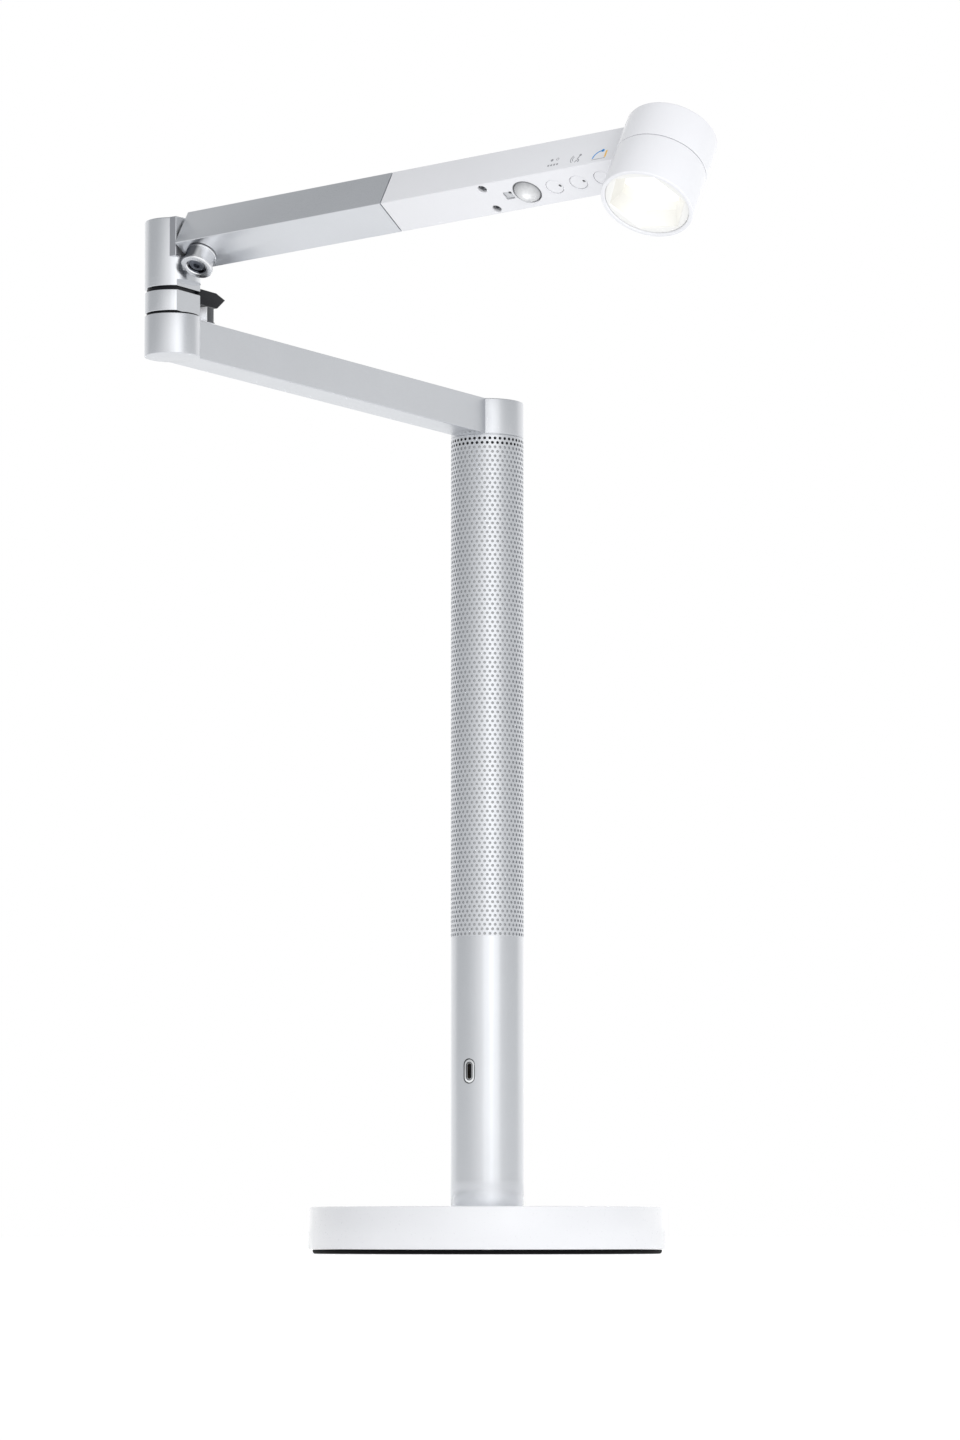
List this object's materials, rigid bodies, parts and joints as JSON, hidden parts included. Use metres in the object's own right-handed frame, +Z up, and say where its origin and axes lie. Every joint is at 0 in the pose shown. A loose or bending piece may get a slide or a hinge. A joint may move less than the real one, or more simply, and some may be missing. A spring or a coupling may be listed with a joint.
{
  "type": "two-arm LED desk lamp",
  "caption": "Desk lamp on a weighted disc base: perforated stem, square lower arm, vertical elbow, upper arm that rolls about its length, cylindrical light head.",
  "frame": {"origin": "on the stem's axis, on the plane the base pad stands on", "axes": "+Z up; +Y points away from the viewer to the back of the base, where the inlet is; +X to the viewer's right"},
  "size_m": [0.2649, 0.5293, 0.5081],
  "materials": {
    "silver": "satin anodised",
    "white": "satin moulded",
    "black": "matt moulded",
    "rubber": "matt",
    "steel": "zinc plated",
    "chrome": "polished",
    "cast": "as cast, coated",
    "board": "solder mask over glass laminate",
    "frosted": "frosted translucent",
    "acrylic": "clear acrylic",
    "copper": "bare copper",
    "bushing": "bearing polymer",
    "glow": "lit warm white diffuser",
    "smoked": "smoked window"
  },
  "bodies": {
    "base": {"base_pad": "rubber", "base_plate": "steel", "base_screw_1": "steel", "base_screw_2": "steel", "base_screw_3": "steel", "base_weight": "cast", "base_cover": "white", "power_board": "board", "dc_inlet": "black", "stem_foot": "silver", "foot_screw_1": "steel", "foot_screw_2": "steel", "foot_screw_3": "steel", "stem_tube": "silver", "usb_bezel": "chrome", "usb_socket": "steel", "usb_board": "board", "light_pipe_seat": "black", "light_pipe": "acrylic", "diffuser_tube": "frosted", "stem_bearing_sleeve": "silver", "sleeve_circlip": "steel"},
    "lower_arm": {"lower_arm_frame": "silver", "pivot_bush": "bushing", "cap_lens": "frosted", "elbow_pin": "steel", "elbow_nut": "steel", "elbow_washer": "black", "elbow_ring": "silver", "parking_pad": "black", "parking_post": "steel"},
    "knuckle": {"knuckle_housing": "silver", "knuckle_cap": "silver", "elbow_bush_lower": "bushing", "elbow_bush_upper": "bushing", "roll_spigot": "steel", "spigot_circlip": "steel"},
    "upper_arm": {"upper_arm_beam": "silver", "roll_bearing": "bushing", "roll_barrel": "chrome", "barrel_screw": "black", "arm_joiner": "black", "control_cover": "white", "cover_screw_1": "steel", "cover_screw_2": "steel", "control_board": "board", "sensor_window": "smoked", "motion_sensor_lens": "frosted", "heat_pipe": "copper", "head_cap": "white", "heat_sink": "silver", "head_shell": "white", "led_board": "board", "led_array": "glow", "reflector": "frosted", "front_lens": "glow"},
    "button_a": {"button_1": "white"},
    "button_b": {"button_2": "white"},
    "button_c": {"button_3": "white"}
  },
  "joints": [
    {"name": "stem_swivel", "type": "hinge", "parent": "base", "child": "lower_arm", "pos_m": [0, 0, 0.4263], "axis": [0, 0, 1], "range_deg": [-180, 180]},
    {"name": "elbow_swivel", "type": "hinge", "parent": "lower_arm", "child": "knuckle", "pos_m": [-0.1501, -0.23873, 0.4585], "axis": [0, 0, 1], "range_deg": [-266.41, 93.59]},
    {"name": "arm_roll", "type": "hinge", "parent": "knuckle", "child": "upper_arm", "pos_m": [-0.1501, -0.23873, 0.4805], "axis": [0.8112, -0.584, 0.0297], "range_deg": [-147.9, 212.1]},
    {"name": "button_a_press", "type": "slide", "parent": "upper_arm", "child": "button_a", "axis": [0.2901, 0.446, 0.8467], "range_m": [0, 0.0008], "stiffness_N_per_m": 500, "springref_m": -0.001},
    {"name": "button_b_press", "type": "slide", "parent": "upper_arm", "child": "button_b", "axis": [0.2901, 0.446, 0.8467], "range_m": [0, 0.0008], "stiffness_N_per_m": 500, "springref_m": -0.001},
    {"name": "button_c_press", "type": "slide", "parent": "upper_arm", "child": "button_c", "axis": [0.2901, 0.446, 0.8467], "range_m": [0, 0.0008], "stiffness_N_per_m": 500, "springref_m": -0.001}
  ]
}
